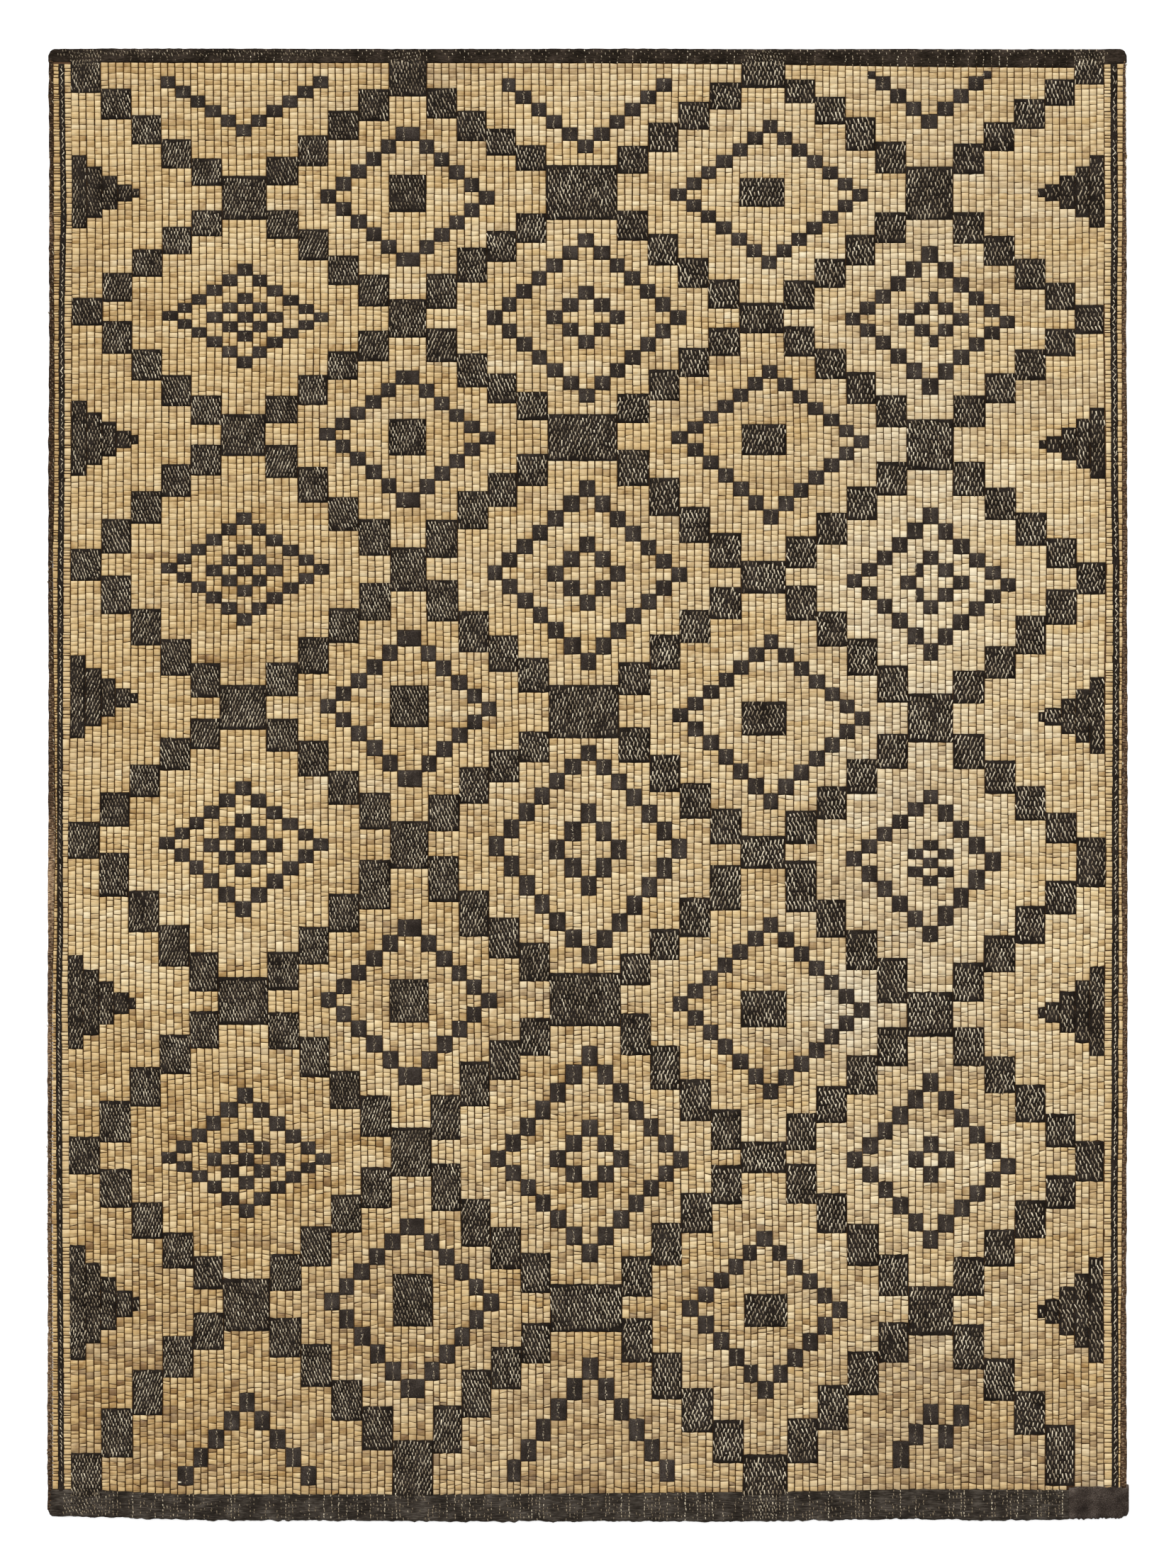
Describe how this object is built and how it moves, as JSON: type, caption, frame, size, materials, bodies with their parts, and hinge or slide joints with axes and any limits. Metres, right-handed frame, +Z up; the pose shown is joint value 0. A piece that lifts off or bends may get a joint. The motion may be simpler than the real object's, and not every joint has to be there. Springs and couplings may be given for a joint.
{
  "type": "reed and leather floor mat",
  "caption": "Flat oblong floor mat of reeds laced side by side with leather thongs, in a stepped diamond lattice, with leather end bands and bound sides.",
  "frame": {"origin": "middle of the underside's box, on the floor the mat lies on", "axes": "+X along the reeds, to the right seen from the foot; +Y along the thongs, towards the head band; +Z up, out of the patterned face"},
  "size_m": [1.5256, 2.0784, 0.0063],
  "materials": {
    "reed": "dry split reed, satin, straw coloured, laced with dark leather",
    "leather": "dark brown dyed goat leather, matt and worn, flecked with pale reed"
  },
  "bodies": {
    "root": {"woven_field": "reed", "head_band": "leather", "foot_band": "leather", "left_binding": "leather", "right_binding": "leather", "corner_patch": "leather"}
  },
  "joints": []
}
